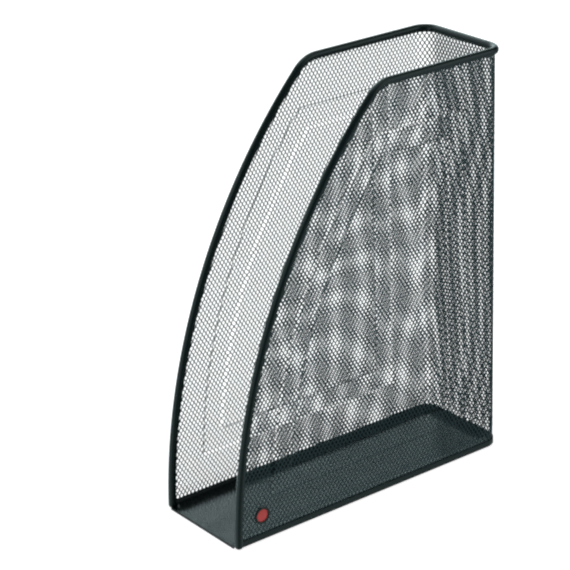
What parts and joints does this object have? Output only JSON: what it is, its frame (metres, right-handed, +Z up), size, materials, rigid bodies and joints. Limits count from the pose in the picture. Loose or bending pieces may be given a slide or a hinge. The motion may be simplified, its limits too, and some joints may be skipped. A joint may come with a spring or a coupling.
{
  "type": "magazine file",
  "caption": "Upright open-fronted magazine file of powder-coated expanded steel mesh, with a swept front edge, a band pressed into each side, a slit-tube rim and a folded sheet base.",
  "frame": {"origin": "middle of the footprint, on the desk", "axes": "+Z up, the open front faces -Y, the width runs along X"},
  "size_m": [0.088, 0.258, 0.32],
  "materials": {
    "rim_coat": "satin green-black powder coat on steel tube",
    "mesh_coat": "satin green-black powder coat on expanded steel",
    "tray_coat": "smooth satin powder coat on sheet steel",
    "badge_enamel": "plain glossy enamel disc"
  },
  "bodies": {
    "root": {"rim_top": "rim_coat", "rim_front_left": "rim_coat", "rim_front_right": "rim_coat", "mesh_side_left": "mesh_coat", "mesh_side_right": "mesh_coat", "mesh_back": "mesh_coat", "mesh_corner_left": "mesh_coat", "mesh_corner_right": "mesh_coat", "base_tray": "tray_coat", "bottom_band": "rim_coat", "badge": "badge_enamel"}
  },
  "joints": []
}
